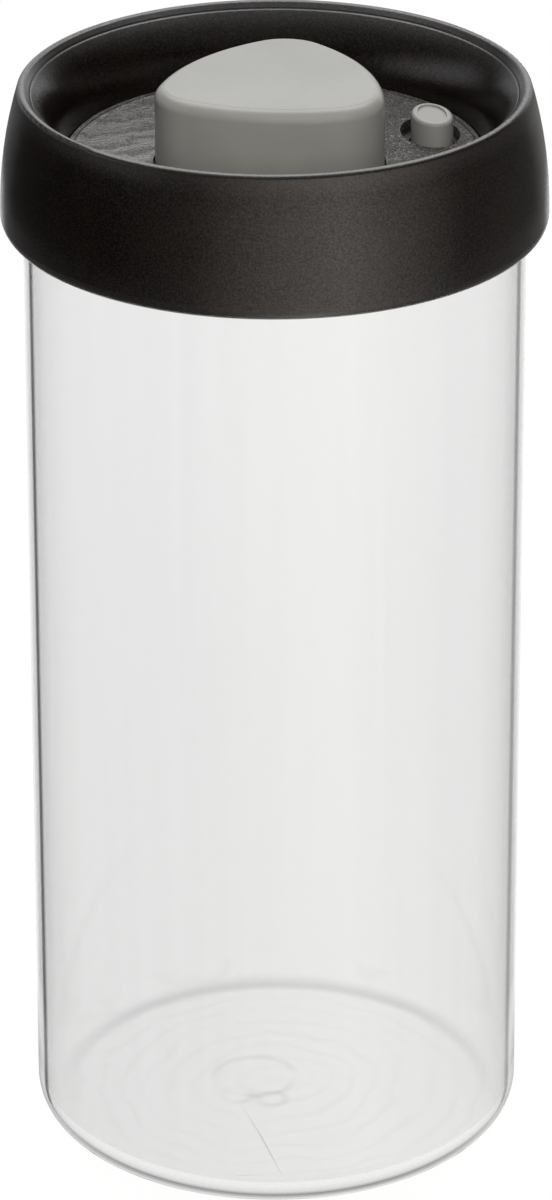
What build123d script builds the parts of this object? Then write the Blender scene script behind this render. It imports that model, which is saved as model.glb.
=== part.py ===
from build123d import *
import math
import os

# A glass food canister whose lid holds a hand pump and a release valve.
# Lengths are millimetres and angles are degrees. The origin is the centre of the jar's foot, on the
# table, and Z points up. Angles round the axis are counted from +X towards +Y.

# Clearances
seat_gap = 0.3
hole_gap = 0.4
running_gap = 0.1
snug_gap = 0.05
overrun = 1.0

# Glass jar
jar_radius = 50.0
jar_height = 206.0
jar_wall = 1.7
jar_floor = 2.6
jar_corner_radius = 7.5
jar_rim_radius = 0.7
foot_land = 12.5
punt_rise = 1.0

# Heights of the lid's layers, counted upwards from the jar's rim
gasket_flange = 1.0
base_flange = 1.6
foot_height = 0.3
web_thickness = 1.6
deck_thickness = 1.6
bowl_depth = 13.8
skirt_overlap = 8.4

# Lid shell
skirt_gap = 1.3
skirt_wall = 3.05
skirt_edge_radius = 2.8
side_radius = 88.0
skin_wall = 2.3
crease_inset = 6.45
crease_drop = 1.4
crest_rise = 0.85
crest_radius = 1.0
bowl_run = 6.45
bowl_wall = 2.4
bowl_sag = 1.2
rim_depth = 3.9
foot_width = 2.0

# Deck plate
deck_gap = 0.15
deck_edge = 0.25
groove_inset = 1.1
groove_width = 0.4
groove_depth = 0.25

# Lid base, the plug that enters the jar
plug_gap = 3.3
plug_wall = 2.0
plug_depth = 11.9
plug_floor = 1.8
plug_lip = 1.4
plug_lip_height = 2.0
base_inset = 0.4
inner_corner_radius = 0.8
edge_radius = 0.5
well_radius = 22.6
well_wall = 1.8
well_depth = 4.2

# Sealing gasket
lip_count = 2
lip_first = 1.2
lip_pitch = 3.4
lip_root = 1.1
lip_rise = 0.9
lip_tip = 0.4

# Pump button, a triangle with rounded corners and bowed flanks
lobes = 3
lobe_angle = 82.0
lobe_distance = 14.0
lobe_radius = 10.5
flank_radius = 42.0
button_height = 15.2
button_edge_radius = 2.4
button_wall = 2.0
button_top = 2.2
button_flange = 1.1
button_flange_height = 1.4
pump_stroke = 10.0
stem_radius = 4.0
spigot_radius = 2.6

# Pump cylinder
bore_radius = 15.0
cylinder_wall = 1.6
cylinder_flange_radius = 22.2
cylinder_flange_height = 1.8
cylinder_floor = 1.6
cylinder_skirt = 3.0
ring_thickness = 0.6
inlet_count = 6
inlet_ring_radius = 3.9
inlet_radius = 0.8
cap_thickness = 2.0
cap_spigot = 0.8
vent_count = 4
vent_ring_radius = 11.0
vent_radius = 1.2

# Piston on the stem
head_height = 4.0
flap_thickness = 0.8
flap_radius = 9.5
head_clearance = 0.5
port_count = 6
port_ring_radius = 6.5
port_radius = 1.0
seal_wire_radius = 0.95
strike_gap = 0.6

# Inlet valve, filter and grille
valve_radius = 6.0
valve_height = 1.1
valve_edge = 0.4
valve_stem_radius = 1.2
bulb_radius = 1.9
bulb_height = 1.5
grille_thickness = 1.2
grille_hole_radius = 0.8
grille_ring_pitch = 3.6
grille_rings = 3
grille_ring_holes = 6

# Release button, an oval beside the pump button
release_inset = 9.2
release_angle = 13.7
release_turn = 102.0
release_length = 12.5
release_width = 8.1
release_height = 4.9
release_edge_radius = 0.8
release_wall = 1.2
release_top = 2.0
release_flange = 1.0
release_stroke = 2.5
dish_inset = 1.3
dish_depth = 0.35
well_inset = 8.9
well_angle = 17.6
well_turn = 101.0
well_length = 17.5
well_width = 11.6

# Release valve below the button
shaft_radius = 1.45
boss_radius = 2.4
boss_drop = 0.6
socket_depth = 5.0
tower_radius = 3.4
tower_collar = 1.2
valve_hole_radius = 2.2
cross_hole_radius = 0.9
release_seal_radius = 4.2
release_seal_height = 1.7
clip_radius = 2.8
clip_thickness = 0.6
clip_groove_depth = 0.45
clip_mouth = 1.6
shaft_tail = 1.0

# Springs
pump_wire_radius = 0.45
pump_coil_radius = 7.0
pump_coil_turns = 4.5
bind_gap = 0.5
release_wire_radius = 0.2
release_coil_radius = 2.0
release_coil_turns = 5.0

# Screws that hold the base to the shell, the cylinder to the base and the piston to the stem
lid_screw_count = 4
lid_screw_angle = 58.7
lid_screw_inset = 6.5
lid_screw_boss_radius = 4.0
lid_screw_boss_height = 4.6
lid_screw_seat = 2.2
lid_screw_head_radius = 2.7
lid_screw_head_height = 1.8
lid_screw_radius = 1.45
lid_screw_length = 9.6
cylinder_screw_count = 3
cylinder_screw_angle = 22.0
cylinder_screw_distance = 19.4
cylinder_screw_boss_radius = 2.2
cylinder_screw_boss_height = 3.6
cylinder_screw_head_radius = 2.1
cylinder_screw_head_height = 1.5
cylinder_screw_radius = 1.05
cylinder_screw_length = 6.4
piston_screw_head_radius = 3.5
piston_screw_head_height = 1.7
piston_screw_radius = 1.15
piston_screw_length = 8.0
tip_share = 0.12
recess_width_share = 0.26
recess_length_share = 1.1
recess_depth_share = 0.55

# Levels of the lid, from the jar's rim up
flange_level = jar_height + seat_gap + gasket_flange
foot_level = flange_level + base_flange
web_level = foot_level + foot_height
web_top = web_level + web_thickness
deck_level = web_top + deck_thickness
crest_level = deck_level + bowl_depth
crease_level = crest_level - crease_drop
shell_bottom = jar_height - skirt_overlap
widest_level = shell_bottom + skirt_edge_radius
skin_top = crest_level - rim_depth

# Levels of the base, from the flange down
base_bottom = flange_level - plug_depth
floor_level = base_bottom + plug_floor
well_floor_level = floor_level - well_depth
ring_level = well_floor_level + ring_thickness
cylinder_flange_top = ring_level + cylinder_flange_height

# Levels of the pump
button_level = deck_level + button_height
button_roof = button_level - button_top
button_flange_top = web_level - seat_gap
skirt_level = button_flange_top - button_flange_height
pump_bound_height = pump_wire_radius * 2 * (pump_coil_turns + 1)
cap_level = button_roof - pump_stroke - pump_bound_height - bind_gap
cylinder_top = cap_level - cap_thickness
flap_top = cylinder_top - head_clearance
head_top = flap_top - flap_thickness
head_bottom = head_top - head_height
screw_bottom = head_bottom - piston_screw_head_height
inlet_level = screw_bottom - pump_stroke - strike_gap - valve_height
cylinder_bottom = inlet_level - cylinder_floor - cylinder_skirt

# Levels of the release valve
release_level = deck_level + release_height
release_roof = release_level - release_top
release_skirt = button_flange_top - button_flange_height
boss_level = button_flange_top - boss_drop
release_bound_height = release_wire_radius * 2 * (release_coil_turns + 1)
tower_top = boss_level - release_stroke - release_bound_height - bind_gap
seal_top = base_bottom - seat_gap
seal_bottom = seal_top - release_seal_height
shaft_bottom = seal_bottom - clip_thickness - shaft_tail

# Radii that follow from the sizes above
jar_inner_radius = jar_radius - jar_wall
punt_radius = jar_radius - jar_corner_radius - foot_land
skirt_inner_radius = jar_radius + skirt_gap
lid_radius = skirt_inner_radius + skirt_wall
crease_radius = lid_radius - crease_inset
recess_radius = crease_radius - bowl_run
deck_radius = recess_radius - deck_gap
bowl_outer_radius = recess_radius + bowl_wall
base_radius = jar_radius - base_inset
plug_radius = jar_inner_radius - plug_gap
leg_radius = plug_radius + plug_lip
lid_screw_distance = plug_radius - plug_wall - lid_screw_inset
cylinder_radius = bore_radius + cylinder_wall
piston_radius = bore_radius - seat_gap
seal_radius = bore_radius - running_gap - seal_wire_radius
release_distance = deck_radius - release_inset
well_distance = deck_radius - well_inset
bottom_aligned = (Align.CENTER, Align.CENTER, Align.MIN)
top_aligned = (Align.CENTER, Align.CENTER, Align.MAX)


def side_at(level):
    """Radius of the lid's bowed outer side at a level above its widest place."""
    rise = level - widest_level
    return lid_radius - side_radius + math.sqrt(side_radius**2 - rise**2)


def place(distance, angle, level=0):
    """A place at a distance from the axis, at an angle round it and at a level."""
    turn = math.radians(angle)
    return Pos(distance * math.cos(turn), distance * math.sin(turn), level)


def turned(*edges):
    """A solid turned round Z from an outline of (radius, level) edges."""
    face = make_face(Curve() + list(edges))
    return revolve(Plane.XZ * face, Axis.Z)


def lathe(*corners):
    """A solid turned round Z from (radius, level, rounding) corners."""
    points = [(radius, level) for radius, level, rounding in corners]
    roundings = [rounding for radius, level, rounding in corners]
    face = make_face(FilletPolyline(*points, radius=roundings, close=True))
    return revolve(Plane.XZ * face, Axis.Z)


def disc(radius, low, high):
    """A round plate or pin on the axis between two levels."""
    return Pos(0, 0, low) * Cylinder(radius, high - low, align=bottom_aligned)


def prism(outline, low, high):
    """An outline drawn at level zero, extruded between two levels."""
    return Pos(0, 0, low) * extrude(outline, high - low)


def around(count, distance, angle, piece):
    """Copies of a piece, evenly spaced round the axis."""
    step = 360 / count
    return [place(distance, angle + step * index) * piece for index in range(count)]


def button_outline(growth):
    """The pump button's outline, moved outwards by a growth."""
    half = 180 / lobes
    reach = flank_radius - lobe_radius
    across = lobe_distance * math.sin(math.radians(half))
    along = lobe_distance * math.cos(math.radians(half))
    set_back = math.sqrt(reach**2 - across**2) - along
    edges = []
    for index in range(lobes):
        lobe = lobe_angle + 2 * half * index
        flank = lobe + half
        corner = Vector(lobe_distance, 0).rotate(Axis.Z, lobe)
        next_corner = Vector(lobe_distance, 0).rotate(Axis.Z, lobe + 2 * half)
        centre = Vector(-set_back, 0).rotate(Axis.Z, flank)
        last_centre = Vector(-set_back, 0).rotate(Axis.Z, lobe - half)
        start = corner + (corner - last_centre).normalized() * (lobe_radius + growth)
        tip = Vector(lobe_distance + lobe_radius + growth, 0).rotate(Axis.Z, lobe)
        end = corner + (corner - centre).normalized() * (lobe_radius + growth)
        middle = centre + Vector(flank_radius + growth, 0).rotate(Axis.Z, flank)
        next_start = next_corner + (next_corner - centre).normalized() * (lobe_radius + growth)
        edges.append(ThreePointArc(start, tip, end))
        edges.append(ThreePointArc(end, middle, next_start))
    return make_face(Curve() + edges)


def release_outline(growth):
    """The release button's oval, moved outwards by a growth."""
    oval = Ellipse(release_length / 2 + growth, release_width / 2 + growth)
    return place(release_distance, release_angle) * Rot(0, 0, release_turn) * oval


def well_outline():
    """The larger oval in the deck plate that the release button stands in."""
    oval = Ellipse(well_length / 2, well_width / 2)
    return place(well_distance, well_angle) * Rot(0, 0, well_turn) * oval


def screw(head_radius, head_height, radius, length):
    """A pan-head screw that points down, with the underside of its head at level zero."""
    tip = length * tip_share
    head = disc(head_radius, 0, head_height)
    head = fillet(head.edges().sort_by(Axis.Z)[-1], head_height / 2)
    shank = disc(radius, tip - length, 0)
    point = Pos(0, 0, -length) * Cone(radius / 2, radius, tip, align=bottom_aligned)
    arm_length = head_radius * recess_length_share
    arm_width = head_radius * recess_width_share
    arm_depth = head_height * recess_depth_share
    arm = Pos(0, 0, head_height) * Box(arm_length, arm_width, arm_depth, align=top_aligned)
    return head + shank + point - arm - Rot(0, 0, 90) * arm


def coil(coil_radius, wire_radius, turns, low, high):
    """A spring between two levels, as one wire on half turns of two arcs each."""
    start_level = low + wire_radius + snug_gap
    climb = high - wire_radius - snug_gap - start_level
    halves = round(turns * 2)
    rise = climb / halves
    slope = rise / math.pi
    edges = []
    for index in range(halves):
        side = 1 if index % 2 == 0 else -1
        first = Vector(side * coil_radius, 0, start_level + rise * index)
        last = Vector(-side * coil_radius, 0, start_level + rise * (index + 1))
        first_way = Vector(0, side * coil_radius, slope).normalized()
        last_way = Vector(0, -side * coil_radius, slope).normalized()
        edges += biarc(first, last, first_way, last_way)
    section = Plane(origin=edges[0] @ 0, z_dir=edges[0] % 0) * Circle(wire_radius)
    return sweep(section, path=Wire(edges))


def biarc(first, last, first_way, last_way):
    """Two arcs that join two points and leave each in its given direction."""
    chord = last - first
    both = first_way + last_way
    spread = 2 - 2 * first_way.dot(last_way)
    along = chord.dot(both)
    reach = (math.sqrt(along**2 + spread * chord.dot(chord)) - along) / spread
    joint = (first + first_way * reach + last - last_way * reach) / 2
    opening = TangentArc(first, joint, tangent=first_way)
    return [opening.edge(), TangentArc(joint, last, tangent=opening % 1).edge()]


def glass_jar():
    """A blown cylinder with a rounded rim, a wide foot corner and a shallow punt."""
    floor_top = jar_floor
    walls = FilletPolyline(
        (punt_radius, 0),
        (jar_radius, 0),
        (jar_radius, jar_height),
        (jar_inner_radius, jar_height),
        (jar_inner_radius, floor_top),
        (punt_radius, floor_top),
        radius=[jar_corner_radius, jar_rim_radius, jar_rim_radius, jar_corner_radius - jar_wall],
    )
    top = TangentArc((0, floor_top + punt_rise), (punt_radius, floor_top), tangent=(1, 0))
    axis = Line((0, floor_top + punt_rise), (0, punt_rise))
    under = TangentArc((0, punt_rise), (punt_radius, 0), tangent=(1, 0))
    return turned(walls, top, axis, under)


def shell_edges():
    """The shell's outline: skirt, bowed side, rim, bowl, web and the hollow between them."""
    corner_level = crest_level + crest_rise
    middle_level = (widest_level + corner_level) / 2
    skirt_start = (lid_radius - skirt_edge_radius, shell_bottom)
    widest = (lid_radius, widest_level)
    crest = (side_at(corner_level), corner_level)
    crease = (crease_radius, crease_level)
    bowl_foot = (recess_radius, deck_level)
    foot_inner = bowl_outer_radius - foot_width
    hollow_inner = (crease_radius, skin_top)
    hollow_outer = (side_at(skin_top) - skin_wall, skin_top)
    return [
        Line((skirt_inner_radius, shell_bottom), skirt_start),
        TangentArc(skirt_start, widest, tangent=(1, 0)),
        ThreePointArc(widest, (side_at(middle_level), middle_level), crest),
        Line(crest, crease),
        SagittaArc(crease, bowl_foot, -bowl_sag),
        Polyline(bowl_foot, (recess_radius, web_top), (0, web_top), (0, web_level)),
        Polyline((0, web_level), (foot_inner, web_level), (foot_inner, foot_level)),
        Polyline((foot_inner, foot_level), (bowl_outer_radius, foot_level), (bowl_outer_radius, deck_level)),
        SagittaArc((bowl_outer_radius, deck_level), hollow_inner, bowl_sag),
        Line(hollow_inner, hollow_outer),
        Polyline(hollow_outer, (skirt_inner_radius, deck_level), (skirt_inner_radius, shell_bottom)),
    ]


def lid_shell():
    """The black outer moulding: skirt, rim, bowl and the web that carries the deck plate."""
    face = make_face(Curve() + shell_edges())
    corner_level = crest_level + crest_rise
    corner = Vector(side_at(corner_level), corner_level)
    face = fillet(face.vertices().sort_by_distance(corner)[0], crest_radius)
    shell = revolve(Plane.XZ * face, Axis.Z)
    boss_bottom = web_level - lid_screw_boss_height
    boss = disc(lid_screw_boss_radius, boss_bottom, web_level)
    shaft = disc(lid_screw_radius + hole_gap / 2, boss_bottom - overrun, web_top)
    seat = disc(lid_screw_head_radius + hole_gap, web_top - lid_screw_seat, web_top + overrun)
    shell += around(lid_screw_count, lid_screw_distance, lid_screw_angle, boss)
    shell -= around(lid_screw_count, lid_screw_distance, lid_screw_angle, shaft + seat)
    low = foot_level - overrun
    high = deck_level + overrun
    shell -= prism(button_outline(hole_gap), low, high)
    return shell - prism(release_outline(hole_gap), low, high)


def deck_plate():
    """The grained plate in the bowl, with a fine border groove and holes for both buttons."""
    plate = lathe(
        (0, web_top, 0),
        (deck_radius, web_top, 0),
        (deck_radius, deck_level, deck_edge),
        (0, deck_level, 0),
    )
    groove_radius = deck_radius - groove_inset
    groove = disc(groove_radius, deck_level - groove_depth, deck_level + overrun)
    groove -= disc(groove_radius - groove_width, deck_level - groove_depth, deck_level + overrun)
    low = web_top - overrun
    high = deck_level + overrun
    holes = prism(button_outline(hole_gap), low, high) + prism(well_outline(), low, high)
    return plate - groove - holes


def base_body():
    """The base's turned form: flange, plug wall, floor and the sunk well for the cylinder."""
    well_outer = well_radius + well_wall
    well_bottom = well_floor_level - plug_floor
    lip_level = base_bottom + plug_lip_height
    inner = plug_radius - plug_wall
    return lathe(
        (cylinder_radius + seat_gap, well_bottom, 0),
        (well_outer, well_bottom, edge_radius),
        (well_outer, base_bottom, 0),
        (leg_radius, base_bottom, edge_radius),
        (leg_radius, lip_level, edge_radius),
        (plug_radius, lip_level, 0),
        (plug_radius, flange_level, 0),
        (base_radius, flange_level, 0),
        (base_radius, foot_level, edge_radius),
        (inner, foot_level, 0),
        (inner, floor_level, inner_corner_radius),
        (well_radius, floor_level, edge_radius),
        (well_radius, well_floor_level, 0),
        (cylinder_radius + seat_gap, well_floor_level, 0),
    )


def release_tower():
    """The guide on the base's floor that the release shaft slides in."""
    guide_radius = shaft_radius + running_gap
    collar_level = tower_top - tower_collar
    tower = lathe(
        (valve_hole_radius, floor_level, 0),
        (tower_radius, floor_level, 0),
        (tower_radius, tower_top, edge_radius),
        (guide_radius, tower_top, 0),
        (guide_radius, collar_level, 0),
        (valve_hole_radius, collar_level, 0),
    )
    hole_level = (floor_level + collar_level) / 2
    cross_hole = Rot(0, 90, 0) * Cylinder(cross_hole_radius, tower_radius * 2 + overrun)
    return tower - Pos(0, 0, hole_level) * cross_hole


def lid_base():
    """The inner moulding that plugs the jar and carries the pump and the release valve."""
    base = base_body()
    boss_top = web_level - lid_screw_boss_height
    boss = disc(lid_screw_boss_radius, floor_level - plug_floor / 2, boss_top)
    screw_end = web_top - lid_screw_seat - lid_screw_length
    pilot = disc(lid_screw_radius + snug_gap, screw_end - snug_gap, boss_top + overrun)
    base += around(lid_screw_count, lid_screw_distance, lid_screw_angle, boss)
    base -= around(lid_screw_count, lid_screw_distance, lid_screw_angle, pilot)
    well_bottom = well_floor_level - plug_floor
    low_boss = disc(cylinder_screw_boss_radius, well_bottom - cylinder_screw_boss_height, well_bottom)
    low_pilot_end = cylinder_flange_top - cylinder_screw_length - snug_gap
    low_pilot = disc(cylinder_screw_radius + snug_gap, low_pilot_end, well_floor_level + overrun)
    base += around(cylinder_screw_count, cylinder_screw_distance, cylinder_screw_angle, low_boss)
    base -= around(cylinder_screw_count, cylinder_screw_distance, cylinder_screw_angle, low_pilot)
    spot = place(release_distance, release_angle)
    base -= spot * disc(valve_hole_radius, base_bottom - overrun, floor_level + overrun)
    return base + spot * release_tower()


def jar_gasket():
    """The soft ring between base and jar: a flange over the rim and lips against the wall."""
    bottom = base_bottom + plug_lip_height
    tip_radius = jar_inner_radius - seat_gap
    under_flange = flange_level - gasket_flange
    corners = [(plug_radius, bottom, 0), (leg_radius, bottom, 0)]
    for index in range(lip_count):
        level = bottom + lip_first + lip_pitch * index
        corners.append((leg_radius, level, 0))
        corners.append((tip_radius, level + lip_rise, 0))
        corners.append((tip_radius, level + lip_rise + lip_tip, 0))
        corners.append((leg_radius, level + lip_root + lip_tip, 0))
    corners.append((leg_radius, under_flange, 0))
    corners.append((base_radius, under_flange, 0))
    corners.append((base_radius, flange_level, 0))
    corners.append((plug_radius, flange_level, 0))
    return lathe(*corners)


def lid_screws():
    """The screws that clamp the base under the shell, hidden by the deck plate."""
    level = web_top - lid_screw_seat
    piece = screw(lid_screw_head_radius, lid_screw_head_height, lid_screw_radius, lid_screw_length)
    return Part() + around(lid_screw_count, lid_screw_distance, lid_screw_angle, Pos(0, 0, level) * piece)


def pump_cylinder():
    """The pump's barrel, with a flange in the base's well and a floor with inlet holes."""
    floor_low = inlet_level - cylinder_floor
    valve_hole = valve_stem_radius + running_gap
    barrel = lathe(
        (bore_radius, cylinder_bottom, 0),
        (cylinder_radius, cylinder_bottom, edge_radius),
        (cylinder_radius, ring_level, 0),
        (cylinder_flange_radius, ring_level, 0),
        (cylinder_flange_radius, cylinder_flange_top, edge_radius),
        (cylinder_radius, cylinder_flange_top, 0),
        (cylinder_radius, cylinder_top, 0),
        (bore_radius, cylinder_top, 0),
        (bore_radius, inlet_level, 0),
        (valve_hole, inlet_level, 0),
        (valve_hole, floor_low, 0),
        (bore_radius, floor_low, 0),
    )
    inlet = disc(inlet_radius, floor_low - overrun, inlet_level + overrun)
    barrel -= around(inlet_count, inlet_ring_radius, 0, inlet)
    hole_radius = cylinder_screw_radius + running_gap
    hole = disc(hole_radius, ring_level - overrun, cylinder_flange_top + overrun)
    return barrel - around(cylinder_screw_count, cylinder_screw_distance, cylinder_screw_angle, hole)


def cylinder_ring():
    """The flat sealing ring under the cylinder's flange."""
    ring = disc(cylinder_flange_radius, well_floor_level, ring_level)
    ring -= disc(cylinder_radius + snug_gap, well_floor_level - overrun, ring_level + overrun)
    hole_radius = cylinder_screw_radius + running_gap
    hole = disc(hole_radius, well_floor_level - overrun, ring_level + overrun)
    return ring - around(cylinder_screw_count, cylinder_screw_distance, cylinder_screw_angle, hole)


def cylinder_screws():
    """The screws that hold the cylinder's flange down in the well."""
    piece = screw(
        cylinder_screw_head_radius, cylinder_screw_head_height, cylinder_screw_radius, cylinder_screw_length
    )
    piece = Pos(0, 0, cylinder_flange_top) * piece
    return Part() + around(cylinder_screw_count, cylinder_screw_distance, cylinder_screw_angle, piece)


def cylinder_cap():
    """The cap that closes the barrel, guides the stem and carries the pump spring."""
    guide_radius = stem_radius + running_gap
    spigot_outer = bore_radius - snug_gap
    spigot_inner = spigot_outer - cylinder_wall
    spigot_level = cylinder_top - cap_spigot
    cap = lathe(
        (guide_radius, cylinder_top, 0),
        (spigot_inner, cylinder_top, 0),
        (spigot_inner, spigot_level, 0),
        (spigot_outer, spigot_level, 0),
        (spigot_outer, cylinder_top, 0),
        (cylinder_radius, cylinder_top, 0),
        (cylinder_radius, cap_level, edge_radius),
        (guide_radius, cap_level, 0),
    )
    vent = disc(vent_radius, cylinder_top - overrun, cap_level + overrun)
    return cap - around(vent_count, vent_ring_radius, 0, vent)


def inlet_valve():
    """The soft one-way valve on the cylinder's floor: a thin cap, a stem and a holding bulb."""
    floor_low = inlet_level - cylinder_floor
    bulb_middle = floor_low - bulb_height / 2
    return lathe(
        (0, floor_low - bulb_height, 0),
        (valve_stem_radius, floor_low - bulb_height, 0),
        (bulb_radius, bulb_middle, 0),
        (bulb_radius, floor_low - snug_gap, 0),
        (valve_stem_radius, floor_low - snug_gap, 0),
        (valve_stem_radius, inlet_level + snug_gap, 0),
        (valve_radius, inlet_level + snug_gap, 0),
        (valve_radius, inlet_level + valve_edge, 0),
        (valve_stem_radius, inlet_level + valve_height, 0),
        (0, inlet_level + valve_height, 0),
    )


def filter_disc():
    """The soft disc that keeps crumbs out of the inlet holes."""
    low = cylinder_bottom + grille_thickness
    high = inlet_level - cylinder_floor
    disc_radius = bore_radius - running_gap
    return disc(disc_radius, low, high) - disc(bulb_radius + seat_gap, low - overrun, high + overrun)


def inlet_grille():
    """The pierced cap that snaps into the cylinder's mouth below the filter."""
    low = cylinder_bottom
    high = low + grille_thickness
    grille = disc(bore_radius - snug_gap, low, high)
    hole = disc(grille_hole_radius, low - overrun, high + overrun)
    for ring in range(grille_rings):
        count = grille_ring_holes * (ring + 1)
        grille -= around(count, grille_ring_pitch * (ring + 1), 0, hole)
    return grille


def pump_button():
    """The large push button: a hollow cap with a retaining flange and a central stem."""
    solid = prism(button_outline(0), skirt_level, button_level)
    top_edges = solid.edges().group_by(Axis.Z)[-1]
    solid = fillet(top_edges, button_edge_radius)
    solid += prism(button_outline(button_flange), skirt_level, button_flange_top)
    solid -= prism(button_outline(-button_wall), skirt_level - overrun, button_roof)
    stem = disc(stem_radius, flap_top, button_roof)
    spigot = disc(spigot_radius, head_bottom, flap_top)
    screw_hole_top = head_bottom + piston_screw_length + snug_gap
    hole = disc(piston_screw_radius + snug_gap, head_bottom - overrun, screw_hole_top)
    return solid + stem + spigot - hole


def piston_head():
    """The piston, with a groove for its seal and ports under the flap valve."""
    middle = (head_top + head_bottom) / 2
    half = seal_wire_radius + running_gap
    floor_radius = seal_radius - seal_wire_radius - snug_gap
    inner = spigot_radius + snug_gap
    head = lathe(
        (inner, head_bottom, 0),
        (piston_radius, head_bottom, edge_radius),
        (piston_radius, middle - half, 0),
        (floor_radius, middle - half, 0),
        (floor_radius, middle + half, 0),
        (piston_radius, middle + half, 0),
        (piston_radius, head_top, edge_radius),
        (inner, head_top, 0),
    )
    port = disc(port_radius, head_bottom - overrun, head_top + overrun)
    return head - around(port_count, port_ring_radius, 0, port)


def piston_seal():
    """The ring that seals the piston in the barrel."""
    middle = (head_top + head_bottom) / 2
    return Pos(0, 0, middle) * Torus(seal_radius, seal_wire_radius)


def piston_flap():
    """The soft flap over the piston's ports, trapped under the stem's shoulder."""
    flap = disc(flap_radius, head_top, flap_top)
    return flap - disc(spigot_radius + snug_gap, head_top - overrun, flap_top + overrun)


def piston_screw():
    """The screw that holds the piston on the stem, driven from below."""
    piece = screw(
        piston_screw_head_radius, piston_screw_head_height, piston_screw_radius, piston_screw_length
    )
    return Pos(0, 0, head_bottom) * Rot(180, 0, 0) * piece


def release_button():
    """The small oval button, with a dished top, a retaining flange and a socket for the shaft."""
    solid = prism(release_outline(0), release_skirt, release_level)
    solid = fillet(solid.edges().group_by(Axis.Z)[-1], release_edge_radius)
    solid += prism(release_outline(release_flange), release_skirt, button_flange_top)
    solid -= prism(release_outline(-release_wall), release_skirt - overrun, release_roof)
    solid -= prism(release_outline(-dish_inset), release_level - dish_depth, release_level + overrun)
    spot = place(release_distance, release_angle)
    solid += spot * disc(boss_radius, boss_level, release_roof)
    socket_top = boss_level + socket_depth
    return solid - spot * disc(shaft_radius + snug_gap, boss_level - overrun, socket_top)


def release_shaft():
    """The pin that carries the release seal, with a groove for its clip."""
    groove_low = seal_bottom - clip_thickness - snug_gap
    groove_radius = shaft_radius - clip_groove_depth
    shaft = disc(shaft_radius, shaft_bottom, boss_level + socket_depth - snug_gap)
    ring = disc(shaft_radius + overrun, groove_low, seal_bottom + snug_gap)
    shaft -= ring - disc(groove_radius, groove_low, seal_bottom + snug_gap)
    return place(release_distance, release_angle) * shaft


def release_seal():
    """The soft washer that closes the hole in the base from below."""
    seal = lathe(
        (shaft_radius + snug_gap, seal_bottom, 0),
        (release_seal_radius - edge_radius, seal_bottom, 0),
        (release_seal_radius, seal_bottom + edge_radius, 0),
        (release_seal_radius, seal_top, 0),
        (shaft_radius + snug_gap, seal_top, 0),
    )
    return place(release_distance, release_angle) * seal


def release_clip():
    """The open ring in the shaft's groove that keeps the seal on."""
    low = seal_bottom - clip_thickness
    clip = disc(clip_radius, low, seal_bottom)
    clip -= disc(shaft_radius - clip_groove_depth + snug_gap, low - overrun, seal_bottom + overrun)
    mouth = Box(clip_radius * 2, clip_mouth, clip_thickness * 2)
    clip -= Pos(clip_radius, 0, low + clip_thickness / 2) * mouth
    return place(release_distance, release_angle) * clip


def pump_spring():
    """The spring that lifts the pump button, between the cylinder's cap and the button's roof."""
    return coil(pump_coil_radius, pump_wire_radius, pump_coil_turns, cap_level, button_roof)


def release_spring():
    """The spring that lifts the release button, on top of its guide tower."""
    wound = coil(release_coil_radius, release_wire_radius, release_coil_turns, tower_top, boss_level)
    return place(release_distance, release_angle) * wound


pieces = {
    "glass_jar": glass_jar,
    "lid_shell": lid_shell,
    "deck_plate": deck_plate,
    "lid_base": lid_base,
    "jar_gasket": jar_gasket,
    "lid_screws": lid_screws,
    "pump_cylinder": pump_cylinder,
    "cylinder_ring": cylinder_ring,
    "cylinder_screws": cylinder_screws,
    "cylinder_cap": cylinder_cap,
    "inlet_valve": inlet_valve,
    "filter_disc": filter_disc,
    "inlet_grille": inlet_grille,
    "pump_button": pump_button,
    "piston_head": piston_head,
    "piston_seal": piston_seal,
    "piston_flap": piston_flap,
    "piston_screw": piston_screw,
    "pump_spring": pump_spring,
    "release_button": release_button,
    "release_shaft": release_shaft,
    "release_seal": release_seal,
    "release_clip": release_clip,
    "release_spring": release_spring,
}

os.makedirs("parts", exist_ok=True)
for name, make in pieces.items():
    export_step(make(), f"parts/{name}.step")
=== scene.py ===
import math

import bmesh
import bpy
from mathutils import Matrix, Vector, geometry, noise


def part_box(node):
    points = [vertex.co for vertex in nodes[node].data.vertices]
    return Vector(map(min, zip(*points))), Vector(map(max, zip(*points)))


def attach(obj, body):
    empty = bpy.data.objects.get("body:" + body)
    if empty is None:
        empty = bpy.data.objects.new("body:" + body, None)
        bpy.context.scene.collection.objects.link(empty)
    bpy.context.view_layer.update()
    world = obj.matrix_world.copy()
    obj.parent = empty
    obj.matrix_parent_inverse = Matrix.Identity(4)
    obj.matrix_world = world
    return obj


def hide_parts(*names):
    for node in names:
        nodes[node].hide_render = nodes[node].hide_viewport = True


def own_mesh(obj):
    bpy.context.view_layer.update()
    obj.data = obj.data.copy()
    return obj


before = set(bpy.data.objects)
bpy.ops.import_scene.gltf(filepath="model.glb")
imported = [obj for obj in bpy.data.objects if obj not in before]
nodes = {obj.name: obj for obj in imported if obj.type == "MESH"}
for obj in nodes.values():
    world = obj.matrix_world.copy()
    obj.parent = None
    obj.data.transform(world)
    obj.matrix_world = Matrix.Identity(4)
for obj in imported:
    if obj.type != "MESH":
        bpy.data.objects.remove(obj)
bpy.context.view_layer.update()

# Lengths are metres and angles are degrees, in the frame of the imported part.
mm = 0.001

# Camera, as the photograph was taken
camera_lens = 191.53
camera_sensor = 36.0
camera_place = (0.0, -1180.02 * mm, 658.84 * mm)
camera_turn = (65.245, 0.095, -0.049)

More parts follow.
